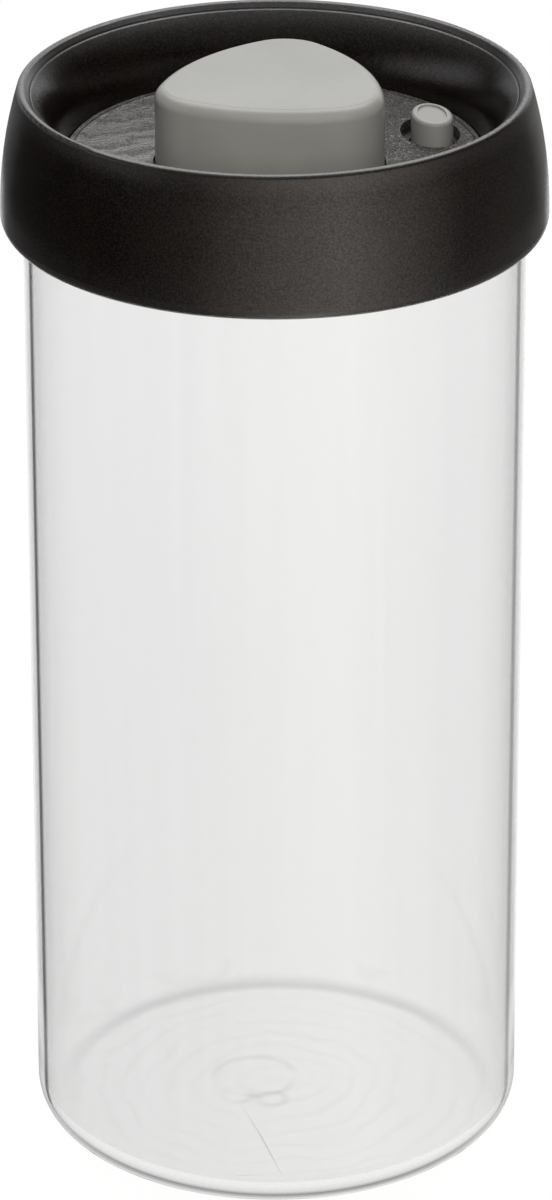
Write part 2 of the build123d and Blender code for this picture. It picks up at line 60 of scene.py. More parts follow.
# Glass jar
jar_radius = 50.0 * mm
jar_wall = 1.7 * mm
jar_floor = 2.6 * mm
jar_corner = 7.5 * mm
jar_rim = 0.7 * mm
jar_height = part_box("glass_jar")[1].z
punt_radius = 30.0 * mm
punt_rise = 1.0 * mm
jar_turns = 256
punt_steps = 60
flat_steps = 20
corner_steps = 24
wall_steps = 60
rim_steps = 6
ripple_height = 0.035 * mm
ripple_length = 5.2 * mm
ripple_fade = 6.0 * mm

# Pressed marks in the jar's floor: a place, a width and a depth, all in mm
floor_presses = [((-7.0, -1.5), 3.0, 0.22), ((-0.5, -3.0), 2.6, 0.18), ((-2.0, 6.5), 6.0, 0.12)]

# Look of the glass: its tint, and painted shade where the glass bends light: the dark line by the wall's
# turn, the dark heel and the floor's grey ring
glass_ior = 1.47
heel_ior = 1.03
glass_tint = (0.885, 0.888, 0.885)
# Painted shade across the glass wall by facing: plain, darker inside its edge, light at the edge
wall_shade_stops = [
    (0.0, 0.885), (0.50, 0.885), (0.63, 0.80), (0.71, 0.68), (0.76, 0.70), (0.81, 0.98), (1.0, 1.0),
]
# Painted dark line where the wall turns away: its place by facing, and its greys near the rim and low down,
# from left to right
shade_line_stops = [(0.0, 0.0), (0.738, 0.0), (0.766, 1.0), (0.793, 1.0), (0.818, 0.0), (1.0, 0.0)]
shade_line_top_greys = ((0.01,) * 3, (0.12,) * 3)
shade_line_low_greys = ((0.008,) * 3, (0.22,) * 3)
line_start = jar_height - 4 * mm
line_full = jar_height - 12 * mm
haze_tint = (0.35, 0.35, 0.35)
clear_top = 45.0 * mm
clear_low = 12.0 * mm
# Painted shade round the foot: greys by facing, darkest at the heel's turn
heel_shade_stops = [(0.0, 0.79), (0.46, 0.77), (0.66, 0.56), (0.79, 0.09), (0.93, 0.34), (1.0, 0.60)]
heel_top = 10.0 * mm
heel_low = 4.0 * mm
heel_shift = 0.355
heel_fade = 0.75
heel_lean = 0.42
# Painted grey ring of shade where the inner floor turns up, stronger towards the back
ring_radius = 44.0 * mm
ring_half = 2.6 * mm
ring_start = -5.0 * mm
ring_full = 35.0 * mm
ring_shade_tint = (0.54, 0.54, 0.54)

# Fine marks on the jar's floor: painted shade of faint rings and round dimples by place and radius, and hair
# scratches from end to end, all in mm
hair_and_shade_tint = (0.33, 0.33, 0.33)
ring_spacing = 0.85 * mm
dimple_half = 1.6 * mm
floor_dimples = [((-8.1, -6.0), 3.2), ((-0.9, -7.8), 2.8), ((-4.5, 2.0), 8.5)]
floor_hairs = [((-8.4, -7.5), (2.3, -44.0)), ((-10.2, -41.6), (-1.7, -38.2))]
hair_half = 0.26 * mm
hair_bend = 0.7 * mm

# Lid shell
shell_roughness = 0.20
rim_roughness = 0.33
rim_sheen = 0.35
shell_dark = (0.0003, 0.0001, 0.0001)
shell_light = (0.0052, 0.0030, 0.0021)
speck_colour = (0.30, 0.29, 0.28)
seam_radius = 48.0 * mm
seam_half = 0.30 * mm
seam_depth = 0.06 * mm
seam_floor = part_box("lid_shell")[1].z - 3 * mm
satin_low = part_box("lid_shell")[1].z - 4.5 * mm
satin_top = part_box("lid_shell")[1].z - 1.5 * mm

# Pump button
button_roughness = 0.34
button_dark = (0.178, 0.178, 0.168)
button_light = (0.194, 0.194, 0.184)
dip_radius = 26.0 * mm
dip_depth = 0.7 * mm
dip_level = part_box("pump_button")[1].z - 0.05 * mm

# Deck plate
deck_dark = (0.022, 0.0205, 0.019)
deck_light = (0.060, 0.0565, 0.052)
deck_low, deck_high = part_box("deck_plate")
deck_radius = deck_high.x
deck_edge = 0.25 * mm
groove_outer = deck_radius - 1.1 * mm
groove_inner = groove_outer - 0.4 * mm
groove_depth = 0.25 * mm
groove_slope = 0.06 * mm
hole_gap = 0.4 * mm
lobes = 3
lobe_angle = 82.0
lobe_distance = 14.0 * mm
lobe_radius = 10.5 * mm
flank_radius = 42.0 * mm
well_place = (32.4 * mm, 17.6)
well_turn = 101.0
well_half = (17.5 / 2 * mm, 11.6 / 2 * mm)
rim_points = 240
lobe_points = 28
sharp_angle = 35.0
well_points = 72
relief_step = 0.36 * mm
relief_depth = 0.12 * mm
relief_border = 0.3 * mm
relief_fade = 0.8 * mm
relief_lean = 0.43
bend_size = 18.0 * mm
bend_reach = 3.0 * mm
row_spacing = 1.65 * mm
pip_spacing = 1.15 * mm
patch_size = (4.0 * mm, 1.6 * mm)
fibre_size = (2.2 * mm, 0.5 * mm)

# Studio floor
floor_gap = 0.2 * mm
floor_radius = 600 * mm
floor_sides = 96
floor_shade = (0.12, 0.12, 0.12)
floor_bounce = (0.40, 0.40, 0.40)
floor_near = 0.85
floor_far = 0.95
floor_fade = 0.094

# Lamps
overhead = {
    "place": (0, 0.45, 1.1),
    "target": (0, 0, 0.22),
    "wide": 1.2,
    "high": 0.85,
    "power": 11,
}
front_fill = {
    "place": (0.1, -1.2, 0.95),
    "target": (0, 0, 0.2),
    "wide": 1.2,
    "high": 0.9,
    "power": 24,
    "colour": (1.0, 0.975, 0.94),
    "gloss": False,
}

# Surround that glossy surfaces see: a backdrop with a bright peak, a pale panel at the left and the sky
backdrop_edge = (0.72, 0.90)
backdrop_left = 0.75
backdrop_right = 1.25
peak_level = 0.34
peak_half = (0.6, 0.30)
panel_place = (-1.0, 0.28)
panel_half = (0.35, 0.26)
left_panel = 0.9
sky_low = 0.03
sky_high = 0.5

# Light round the object's front, by angle as a share of a turn from behind, left, front, right to behind
front_stops = [
    (0.22, 0.006), (0.29, 0.008), (0.35, 0.05), (0.41, 0.14), (0.50, 0.66),
    (0.58, 1.05), (0.64, 0.58), (0.73, 0.10), (0.92, 0.035),
]
front_light = (1.78, 1.64, 1.54)

# Springs
pump_coil_radius = 7.0 * mm
pump_wire = 0.45 * mm
pump_turns = 4.5
release_coil_radius = 2.0 * mm
release_wire = 0.2 * mm
release_turns = 5.0
release_place = (32.1 * mm, 13.7)
wire_sides = 10
wire_steps = 40


def smooth(share):
    """An even step from 0 to 1."""
    share = max(0.0, min(1.0, share))
    return share * share * (3 - 2 * share)


def polar(distance, angle):
    """A point at a distance from the axis and an angle round it."""
    turn = math.radians(angle)
    return Vector((distance * math.cos(turn), distance * math.sin(turn)))


# Materials


def add_node(tree, kind, inputs=None, **settings):
    """A node with its settings and inputs: a value is set, and a socket is linked."""
    node = tree.nodes.new(kind)
    for name, value in settings.items():
        setattr(node, name, value)
    for name, value in (inputs or {}).items():
        if isinstance(value, bpy.types.NodeSocket):
            tree.links.new(value, node.inputs[name])
        else:
            node.inputs[name].default_value = value
    return node


def place_in(tree):
    """The place on the piece, in metres."""
    return add_node(tree, "ShaderNodeTexCoord").outputs["Object"]


def stretched(tree, place, scale):
    """The place with its axes scaled."""
    return add_node(tree, "ShaderNodeMapping", {"Vector": place, "Scale": scale}).outputs["Vector"]


def grain(tree, place, size, detail=2.0, roughness=0.5):
    """Noise whose grains are about a size across."""
    inputs = {"Vector": place, "Scale": 1 / size, "Detail": detail, "Roughness": roughness}
    return add_node(tree, "ShaderNodeTexNoise", inputs).outputs["Fac"]


def ranged(tree, value, low, high, to_low, to_high, soft=False):
    """A value moved from one range to another, and held there."""
    inputs = {"Value": value, "From Min": low, "From Max": high, "To Min": to_low, "To Max": to_high}
    kind = "SMOOTHSTEP" if soft else "LINEAR"
    return add_node(tree, "ShaderNodeMapRange", inputs, interpolation_type=kind).outputs["Result"]


def maths(tree, operation, first, second):
    """Two values joined by an operation."""
    return add_node(tree, "ShaderNodeMath", {0: first, 1: second}, operation=operation).outputs[0]


def hill(tree, value, middle, half):
    """1 where a value is at a middle, and 0 from half a width away."""
    gap = maths(tree, "ABSOLUTE", maths(tree, "SUBTRACT", value, middle), 0.0)
    return ranged(tree, gap, 0.0, half, 1.0, 0.0, soft=True)


def round_axis(tree, place):
    """Distance from the axis, and height."""
    parts = add_node(tree, "ShaderNodeSeparateXYZ", {"Vector": place}).outputs
    flat = add_node(tree, "ShaderNodeCombineXYZ", {"X": parts["X"], "Y": parts["Y"]}).outputs["Vector"]
    length = add_node(tree, "ShaderNodeVectorMath", {0: flat}, operation="LENGTH").outputs["Value"]
    return length, parts["Z"]


def blended(tree, share, first, second):
    """Two colours mixed by a share."""
    node = add_node(tree, "ShaderNodeMix", data_type="RGBA")
    tree.links.new(share, node.inputs["Factor"])
    for socket, colour in ((node.inputs["A"], first), (node.inputs["B"], second)):
        if isinstance(colour, bpy.types.NodeSocket):
            tree.links.new(colour, socket)
        else:
            socket.default_value = (*colour, 1)
    return node.outputs["Result"]


def ramp(tree, value, stops):
    """A colour ramp with (place, grey) stops."""
    node = add_node(tree, "ShaderNodeValToRGB", {"Fac": value})
    elements = node.color_ramp.elements
    while len(elements) < len(stops):
        elements.new(0.5)
    for element, (spot, grey) in zip(elements, stops):
        element.position = spot
        element.color = (grey, grey, grey, 1)
    return node.outputs["Color"]


def bumped(tree, heights):
    """A normal from (height, depth) pairs, the finest first."""
    normal = None
    for height, depth in heights:
        inputs = {"Height": height, "Distance": depth}
        if normal is not None:
            inputs["Normal"] = normal
        normal = add_node(tree, "ShaderNodeBump", inputs).outputs["Normal"]
    return normal


def new_material(name, colour, roughness, **values):
    """A material, its node tree and its shader."""
    made = bpy.data.materials.new(name)
    made.use_nodes = True
    shader = made.node_tree.nodes["Principled BSDF"]
    shader.inputs["Base Color"].default_value = (*colour, 1)
    shader.inputs["Roughness"].default_value = roughness
    for key, value in values.items():
        shader.inputs[key.replace("_", " ")].default_value = value
    return made, made.node_tree, shader


def specks(tree, place, colour, spacing, size, share):
    """Sparse small bright specks over a colour."""
    dots = add_node(tree, "ShaderNodeTexVoronoi", {"Vector": place, "Scale": 1 / spacing}).outputs
    near = ranged(tree, dots["Distance"], size / spacing, 2 * size / spacing, 1.0, 0.0)
    pick = add_node(tree, "ShaderNodeSeparateColor", {"Color": dots["Color"]}).outputs
    chosen = maths(tree, "GREATER_THAN", pick["Red"], 1 - share)
    strength = maths(tree, "MULTIPLY", maths(tree, "MULTIPLY", near, chosen), pick["Green"])
    return blended(tree, strength, colour, speck_colour)


def moulded(name, dark, light, roughness, grain_size, depth):
    """Moulded plastic: a fine grain, cloudy colour and uneven gloss."""
    made, tree, shader = new_material(name, dark, roughness)
    place = place_in(tree)
    clouds = grain(tree, place, 14 * mm, 3.0)
    fine = grain(tree, place, grain_size, 2.0, 0.6)
    colour = blended(tree, ranged(tree, clouds, 0.35, 0.65, 0.0, 1.0), dark, light)
    tree.links.new(colour, shader.inputs["Base Color"])
    gloss = ranged(tree, fine, 0.3, 0.7, roughness - 0.05, roughness + 0.05)
    tree.links.new(gloss, shader.inputs["Roughness"])
    tree.links.new(bumped(tree, [(fine, depth)]), shader.inputs["Normal"])
    return made


def shell_material():
    """Satin black shell: spark-eroded texture, sparse specks and the fine seam inside its rim."""
    made, tree, shader = new_material("black_shell", (0.002, 0.0015, 0.0012), shell_roughness)
    place = place_in(tree)
    clouds = grain(tree, place, 9 * mm, 3.0)
    fine = grain(tree, place, 0.50 * mm, 2.0, 0.6)
    tooth = grain(tree, place, 0.38 * mm, 1.0)
    patches = ranged(tree, clouds, 0.35, 0.65, 0.0, 0.35)
    pepper = maths(tree, "ADD", patches, ranged(tree, tooth, 0.47, 0.72, 0.0, 1.4))
    colour = blended(tree, pepper, shell_dark, shell_light)
    colour = specks(tree, place, colour, 2.4 * mm, 0.07 * mm, 0.04)
    tree.links.new(colour, shader.inputs["Base Color"])
    gloss = ranged(tree, fine, 0.3, 0.7, -0.05, 0.05)
    sheen = ranged(tree, tooth, 0.3, 0.7, 0.38, 0.62)
    radius, level = round_axis(tree, place)
    sheen = maths(tree, "ADD", sheen, ranged(tree, level, satin_low, satin_top, 0.0, rim_sheen))
    tree.links.new(sheen, shader.inputs["Specular IOR Level"])
    satin = ranged(tree, level, satin_low, satin_top, shell_roughness, rim_roughness)
    tree.links.new(maths(tree, "ADD", satin, gloss), shader.inputs["Roughness"])
    on_rim = maths(tree, "GREATER_THAN", level, seam_floor)
    seam = maths(tree, "MULTIPLY", hill(tree, radius, seam_radius, seam_half), on_rim)
    flipped = maths(tree, "SUBTRACT", 1.0, seam)
    normal = bumped(tree, [(flipped, seam_depth), (tooth, 0.010 * mm), (fine, 0.014 * mm)])
    tree.links.new(normal, shader.inputs["Normal"])
    return made


def button_material():
    """Grey buttons: fine grain, uneven gloss, and a top that dips gently to its middle."""
    made, tree, shader = new_material("grey_button", (0.186, 0.186, 0.176), button_roughness)
    shader.inputs["Specular IOR Level"].default_value = 0.45
    place = place_in(tree)
    clouds = grain(tree, place, 14 * mm, 3.0)
    fine = grain(tree, place, 0.35 * mm, 2.0, 0.6)
    patches = ranged(tree, clouds, 0.35, 0.65, 0.0, 1.0)
    colour = blended(tree, patches, button_dark, button_light)
    tree.links.new(colour, shader.inputs["Base Color"])
    gloss = ranged(tree, fine, 0.3, 0.7, button_roughness - 0.05, button_roughness + 0.05)
    tree.links.new(gloss, shader.inputs["Roughness"])
    radius, level = round_axis(tree, place)
    share = maths(tree, "DIVIDE", radius, dip_radius)
    on_top = maths(tree, "GREATER_THAN", level, dip_level)
    bowl = maths(tree, "MULTIPLY", maths(tree, "MULTIPLY", share, share), on_top)
    tree.links.new(bumped(tree, [(fine, 0.008 * mm), (bowl, dip_depth)]), shader.inputs["Normal"])
    return made


def deck_material():
    """Dark plate with an embossed grain: wandering rows of pips, pores and fine tooth."""
    made, tree, shader = new_material("deck_grain", (0.03, 0.03, 0.03), 0.30, Specular_IOR_Level=1.0)
    place = place_in(tree)
    pores = grain(tree, stretched(tree, place, (1.0, 2.0, 1.0)), 0.9 * mm, 3.0, 0.65)
    pips = grain(tree, stretched(tree, place, (1.0, 1.5, 1.0)), 0.42 * mm, 1.0)
    leaning = add_node(tree, "ShaderNodeMapping", {"Vector": place, "Rotation": (0, 0, -0.40)})
    wave_inputs = {
        "Vector": leaning.outputs["Vector"],
        "Scale": 0.05 / mm,
        "Distortion": 5.0,
        "Detail": 2.0,
        "Detail Scale": 3.0,
    }
    waves = add_node(tree, "ShaderNodeTexWave", wave_inputs, bands_direction="Y").outputs["Fac"]
    across = add_node(tree, "ShaderNodeSeparateXYZ", {"Vector": place}).outputs["X"]
    right = ranged(tree, across, -5 * mm, 20 * mm, 0.0, 1.0)
    lumps = ranged(tree, pips, 0.35, 0.65, 0.0, 1.0)
    rows = maths(tree, "MULTIPLY", waves, lumps)
    squiggles = maths(tree, "MULTIPLY", ranged(tree, pores, 0.42, 0.58, 0.0, 1.0), right)
    patches = ranged(tree, pores, 0.35, 0.65, 0.0, 1.0)
    colour = blended(tree, patches, deck_dark, deck_light)
    tree.links.new(colour, shader.inputs["Base Color"])
    tree.links.new(ranged(tree, pores, 0.3, 0.7, 0.36, 0.24), shader.inputs["Roughness"])
    normal = bumped(tree, [(pips, 0.10 * mm), (rows, 0.15 * mm), (squiggles, 0.20 * mm)])
    tree.links.new(normal, shader.inputs["Normal"])
    return made


def lamplight_passes(tree, shader):
    """Shadow and diffuse rays go straight through."""
    path = add_node(tree, "ShaderNodeLightPath").outputs
    passing = maths(tree, "MAXIMUM", path["Is Shadow Ray"], path["Is Diffuse Ray"])
    clear = add_node(tree, "ShaderNodeBsdfTransparent", {"Color": (0.96, 0.965, 0.96, 1)})
    mixed = add_node(tree, "ShaderNodeMixShader", {0: passing, 1: shader.outputs[0], 2: clear.outputs[0]})
    tree.links.new(mixed.outputs[0], tree.nodes["Material Output"].inputs["Surface"])


def glass_outside():
    """The jar's outer face: clear, with painted shade: a dark line where the wall turns away, darkest at the
    left, and a dark band round the foot.
    """
    made, tree, shader = new_material("glass_outer", glass_tint, 0.0, IOR=glass_ior, Transmission_Weight=1.0)
    place = place_in(tree)
    level = round_axis(tree, place)[1]
    across = add_node(tree, "ShaderNodeSeparateXYZ", {"Vector": place}).outputs["X"]
    right = ranged(tree, across, -jar_radius, jar_radius, 0.0, 1.0)
    down = ranged(tree, level, jar_height, 0.0, 0.0, 1.0)
    facing = add_node(tree, "ShaderNodeLayerWeight", {"Blend": 0.5}).outputs["Facing"]
    heel = ranged(tree, level, heel_top, heel_low, 0.0, 1.0, soft=True)
    turned = maths(tree, "ADD", facing, ranged(tree, down, 0.0, 1.0, 0.002, -0.006))
    under = ranged(tree, level, 0.0, jar_corner, 1.0, 0.0)
    squared = maths(tree, "MULTIPLY", under, under)
    upright = maths(tree, "SQRT", maths(tree, "SUBTRACT", 1.04, squared), 0.0)
    leaned = maths(tree, "MULTIPLY", under, heel_lean)
    toward = maths(tree, "ADD", maths(tree, "SUBTRACT", 1.0, facing), leaned)
    forward = maths(tree, "MINIMUM", maths(tree, "DIVIDE", toward, upright), 1.0)
    shift = maths(tree, "MULTIPLY", maths(tree, "POWER", forward, heel_fade), heel_shift)
    shifted = maths(tree, "ADD", turned, maths(tree, "MULTIPLY", heel, shift))
    # The painted dark line, faded out near the rim, darker at the left and changing from top to bottom
    below_rim = ranged(tree, level, line_start, line_full, 0.0, 1.0)
    line = maths(tree, "MULTIPLY", ramp(tree, shifted, shade_line_stops), below_rim)
    top = blended(tree, right, *shade_line_top_greys)
    low = blended(tree, right, *shade_line_low_greys)
    wall = blended(tree, line, ramp(tree, shifted, wall_shade_stops), blended(tree, down, top, low))
    streaks = grain(tree, stretched(tree, place, (1.0, 1.0, 0.02)), 3.0 * mm, 2.0)
    smears = grain(tree, stretched(tree, place, (0.5, 0.5, 1.6)), 6.0 * mm, 5.0, 0.75)
    faint = ranged(tree, streaks, 0.35, 0.65, 0.0, 0.05)
    haze = maths(tree, "ADD", faint, ranged(tree, smears, 0.66, 0.74, 0.0, 0.10))
    wall = blended(tree, haze, wall, haze_tint)
    near_foot = ranged(tree, level, clear_top, clear_low, 0.0, 0.6)
    clear = maths(tree, "MULTIPLY", near_foot, ranged(tree, facing, 0.70, 0.74, 1.0, 0.0))
    wall = blended(tree, clear, wall, glass_tint)
    # Painted shade round the foot, by facing
    tint = blended(tree, heel, wall, ramp(tree, shifted, heel_shade_stops))
    back = add_node(tree, "ShaderNodeNewGeometry").outputs["Backfacing"]
    tree.links.new(blended(tree, back, tint, glass_tint), shader.inputs["Base Color"])
    tree.links.new(ranged(tree, heel, 0.0, 1.0, glass_ior, heel_ior), shader.inputs["IOR"])
    lamplight_passes(tree, shader)
    return made


def floor_hairs_and_shade(tree, place):
    """The floor's painted shade of faint rings and round pressed dimples, and two hair scratches, as a
    share.
    """
    parts = add_node(tree, "ShaderNodeSeparateXYZ", {"Vector": place}).outputs
    swirl = grain(tree, place, 16 * mm, 2.0)
    radius = round_axis(tree, place)[0]
    # Painted shade of the floor's faint rings, broken up by a swirl
    turns = maths(tree, "DIVIDE", radius, ring_spacing)
    phase = maths(tree, "ADD", turns, maths(tree, "MULTIPLY", swirl, 14.0))
    rings = ranged(tree, maths(tree, "SINE", phase, 0.0), 0.2, 1.0, 0.0, 0.09)
    marks = maths(tree, "MULTIPLY", rings, ranged(tree, swirl, 0.4, 0.6, 0.3, 1.0))
    # Painted shade round each pressed dimple
    for (x, y), size in floor_dimples:
        middle = (x * mm, y * mm, 0)
        offset = add_node(tree, "ShaderNodeVectorMath", {0: place, 1: middle}, operation="SUBTRACT")
        gap = round_axis(tree, offset.outputs["Vector"])[0]
        strength = ranged(tree, swirl, 0.42, 0.55, 0.06, 0.30)
        edge = maths(tree, "MULTIPLY", hill(tree, gap, size * mm, dimple_half), strength)
        marks = maths(tree, "ADD", marks, edge)
    # Two thin hair scratches
    for start, end in floor_hairs:
        along = (Vector(end) - Vector(start)).normalized()
        reach = (Vector(end) - Vector(start)).length * mm
        x = maths(tree, "SUBTRACT", parts["X"], start[0] * mm)
        y = maths(tree, "SUBTRACT", parts["Y"], start[1] * mm)
        run = maths(tree, "ADD", maths(tree, "MULTIPLY", x, along.x), maths(tree, "MULTIPLY", y, along.y))
        turned = maths(tree, "MULTIPLY", x, -along.y)
        side = maths(tree, "SUBTRACT", turned, maths(tree, "MULTIPLY", y, -along.x))
        sway = maths(tree, "SINE", maths(tree, "DIVIDE", run, reach / 3.0), 0.0)
        bend = maths(tree, "MULTIPLY", sway, hair_bend)
        near = hill(tree, maths(tree, "SUBTRACT", side, bend), 0.0, hair_half)
        hair = maths(tree, "MULTIPLY", near, hill(tree, run, reach / 2, reach / 2))
        marks = maths(tree, "ADD", marks, hair)
    return marks


def glass_inside():
    """The jar's inner face: a painted grey ring of shade where the floor turns up, and the floor's painted
    shade and hair scratches.
    """
    made, tree, shader = new_material("glass_inner", glass_tint, 0.0, IOR=glass_ior, Transmission_Weight=1.0)
    place = place_in(tree)
    radius, level = round_axis(tree, place)
    low = maths(tree, "LESS_THAN", level, jar_corner)
    # Painted ring of shade, stronger towards the back, on faces seen from inside
    depth = add_node(tree, "ShaderNodeSeparateXYZ", {"Vector": place}).outputs["Y"]
    far = ranged(tree, depth, ring_start, ring_full, 0.0, 1.0)
    band = maths(tree, "MULTIPLY", hill(tree, radius, ring_radius, ring_half), low)
    ring = maths(tree, "MULTIPLY", band, far)
    back = add_node(tree, "ShaderNodeNewGeometry").outputs["Backfacing"]
    seen = maths(tree, "SUBTRACT", 1.0, back)
    tint = blended(tree, maths(tree, "MULTIPLY", ring, seen), glass_tint, ring_shade_tint)
    marks = maths(tree, "MULTIPLY", maths(tree, "MULTIPLY", floor_hairs_and_shade(tree, place), low), seen)
    tree.links.new(blended(tree, marks, tint, hair_and_shade_tint), shader.inputs["Base Color"])
    lamplight_passes(tree, shader)
    return made


def metal(name, colour, roughness, size):
    """Plated or drawn metal with a fine uneven gloss."""
    made, tree, shader = new_material(name, colour, roughness, Metallic=1.0)
    fine = grain(tree, place_in(tree), size, 3.0)
    gloss = ranged(tree, fine, 0.3, 0.7, roughness - 0.08, roughness + 0.08)
    tree.links.new(gloss, shader.inputs["Roughness"])
    tree.links.new(bumped(tree, [(fine, 0.01 * mm)]), shader.inputs["Normal"])
    return made


def silicone_material():
    """Cloudy see-through silicone."""
    made, tree, shader = new_material("clear_silicone", (0.62, 0.63, 0.63), 0.38)
    shader.inputs["Subsurface Weight"].default_value = 0.3
    shader.inputs["Subsurface Scale"].default_value = 1.0 * mm
    fine = grain(tree, place_in(tree), 0.8 * mm, 2.0)
    patches = ranged(tree, fine, 0.3, 0.7, 0.0, 1.0)
    colour = blended(tree, patches, (0.56, 0.57, 0.57), (0.68, 0.69, 0.69))
    tree.links.new(colour, shader.inputs["Base Color"])
    tree.links.new(bumped(tree, [(fine, 0.01 * mm)]), shader.inputs["Normal"])
    return made


def felt_material():
    """Pressed white felt."""
    made, tree, shader = new_material("filter_felt", (0.72, 0.72, 0.69), 0.95)
    fibres = grain(tree, place_in(tree), 0.25 * mm, 4.0, 0.7)
    patches = ranged(tree, fibres, 0.3, 0.7, 0.0, 1.0)
    colour = blended(tree, patches, (0.55, 0.55, 0.52), (0.80, 0.80, 0.77))
    tree.links.new(colour, shader.inputs["Base Color"])
    tree.links.new(bumped(tree, [(fibres, 0.12 * mm)]), shader.inputs["Normal"])
    return made


shell_black = shell_material()
button_grey = button_material()
white_plastic = moulded("white_plastic", (0.66, 0.66, 0.64), (0.74, 0.74, 0.72), 0.45, 0.5 * mm, 0.01 * mm)
black_rubber = moulded("black_rubber", (0.022,) * 3, (0.034,) * 3, 0.75, 0.3 * mm, 0.03 * mm)
clear_silicone = silicone_material()
filter_felt = felt_material()
screw_steel = metal("screw_steel", (0.62, 0.62, 0.62), 0.34, 0.15 * mm)
spring_steel = metal("spring_steel", (0.68, 0.68, 0.69), 0.24, 0.10 * mm)
deck_grain = deck_material()
glass_outer = glass_outside()
glass_inner = glass_inside()

finishes = {
    "lid_shell": shell_black,
    "lid_base": shell_black,
    "pump_button": button_grey,
    "release_button": button_grey,
    "jar_gasket": clear_silicone,
    "cylinder_ring": clear_silicone,
    "inlet_valve": clear_silicone,
    "lid_screws": screw_steel,
    "cylinder_screws": screw_steel,
    "piston_screw": screw_steel,
    "release_clip": spring_steel,
    "pump_cylinder": white_plastic,
    "cylinder_cap": white_plastic,
    "inlet_grille": white_plastic,
    "piston_head": white_plastic,
    "release_shaft": white_plastic,
    "piston_seal": black_rubber,
    "piston_flap": black_rubber,
    "release_seal": black_rubber,
    "filter_disc": filter_felt,
}
for name, finish in finishes.items():
    nodes[name].data.materials.clear()
    nodes[name].data.materials.append(finish)
even = nodes["lid_shell"].modifiers.new("even_normals", "WEIGHTED_NORMAL")
even.keep_sharp = True
even.weight = 80


# Meshes


def new_piece(name, points, faces, materials, face_slots=None, is_smooth=True):
    """A mesh piece from its points and faces."""
    mesh = bpy.data.meshes.new(name)
    mesh.from_pydata([tuple(point) for point in points], [], faces)
    for material in materials:
        mesh.materials.append(material)
    mesh.polygons.foreach_set("use_smooth", [is_smooth] * len(mesh.polygons))
    if face_slots is not None:
        mesh.polygons.foreach_set("material_index", face_slots)
    mesh.update()
    piece = bpy.data.objects.new(name, mesh)
    bpy.context.scene.collection.objects.link(piece)
    return piece


def arc(centre, radius, start, end, steps):
    """Points on a circle of (radius, level), from one angle to another."""
    points = []
    for step in range(steps + 1):
        turn = math.radians(start + (end - start) * step / steps)
        points.append((centre[0] + radius * math.cos(turn), centre[1] + radius * math.sin(turn)))
    return points


def stations(start, end, count):
    """Evenly spaced points between two, without the last."""
    return [
        (start[0] + (end[0] - start[0]) * i / count, start[1] + (end[1] - start[1]) * i / count)
        for i in range(count)
    ]


def dome(level, radius):
    """Height of the shallow punt at a radius from the axis."""
    sphere = (punt_radius**2 + punt_rise**2) / (2 * punt_rise)
    if radius >= punt_radius:
        return level
    return level + math.sqrt(sphere**2 - radius**2) - (sphere - punt_rise)


def jar_profile():
    """The jar's outline as (radius, level) points and the count of those outside."""
    outer_corner = (jar_radius - jar_corner, jar_corner)
    inner_corner_radius = jar_corner - jar_wall
    inner_radius = jar_radius - jar_wall
    inner_corner = (inner_radius - inner_corner_radius, jar_floor + inner_corner_radius)
    under = [(r, dome(0.0, r)) for r, _ in stations((0, 0), (punt_radius, 0), punt_steps)]
    under += stations((punt_radius, 0.0), (outer_corner[0], 0.0), flat_steps)
    rim_low = jar_height - jar_rim
    outside = arc(outer_corner, jar_corner, -90, 0, corner_steps)
    outside += stations((jar_radius, jar_corner), (jar_radius, rim_low), wall_steps)[1:]
    outside += arc((jar_radius - jar_rim, rim_low), jar_rim, 0, 90, rim_steps)
    inside = arc((inner_radius + jar_rim, rim_low), jar_rim, 90, 180, rim_steps)
    inside += stations((inner_radius, rim_low), (inner_radius, inner_corner[1]), wall_steps)[1:]
    inside += arc(inner_corner, inner_corner_radius, 0, -90, corner_steps)
    floor = stations((inner_corner[0], jar_floor), (punt_radius, jar_floor), flat_steps)[1:]
    floor += [(r, dome(jar_floor, r)) for r, _ in stations((punt_radius, 0), (0, 0), punt_steps)]
    floor += [(0, jar_floor + punt_rise)]
    return under + outside, inside + floor


def glass_jar():
    """The blown jar, finely turned, with the slow ripples of its floor."""
    outside, inside = jar_profile()
    profile = outside + inside
    points = [Vector((0, 0, profile[0][1]))]
    for radius, level in profile[1:-1]:
        for turn in range(jar_turns):
            angle = 2 * math.pi * turn / jar_turns
            x, y = radius * math.cos(angle), radius * math.sin(angle)
            points.append(Vector((x, y, level + ripple(radius, angle, level))))
    points.append(Vector((0, 0, profile[-1][1])))
    rows = len(profile) - 2
    faces, slots = [], []
    for turn in range(jar_turns):
        after = (turn + 1) % jar_turns
        faces.append((0, 1 + after, 1 + turn))
        slots.append(0)
        for row in range(rows - 1):
            low, high = 1 + row * jar_turns, 1 + (row + 1) * jar_turns
            faces.append((low + turn, low + after, high + after, high + turn))
            slots.append(0 if row < len(outside) - 2 else 1)
        last = 1 + (rows - 1) * jar_turns
        faces.append((last + turn, last + after, len(points) - 1))
        slots.append(1)
    piece = new_piece("jar_glass", points, faces, [glass_outer, glass_inner], slots)
    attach(piece, "jar")
    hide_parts("glass_jar")
    return piece


def ripple(radius, angle, level):
    """The floor's slow rings and the pressed marks near its centre, on its upper face."""
    if level < jar_floor * 0.75 or radius > jar_radius - jar_corner:
        return 0.0
    fade = smooth((jar_radius - jar_corner - radius) / ripple_fade)
    rings = ripple_height * math.sin(radius / ripple_length * 2 * math.pi + 1.5 * math.sin(angle * 2))
    spot = Vector((radius * math.cos(angle), radius * math.sin(angle)))
    marks = 0.0
    for centre, size, depth in floor_presses:
        gap = (spot - Vector(centre) * mm).length / (size * mm)
        marks -= depth * mm * math.exp(-gap * gap)
    return fade * rings + marks


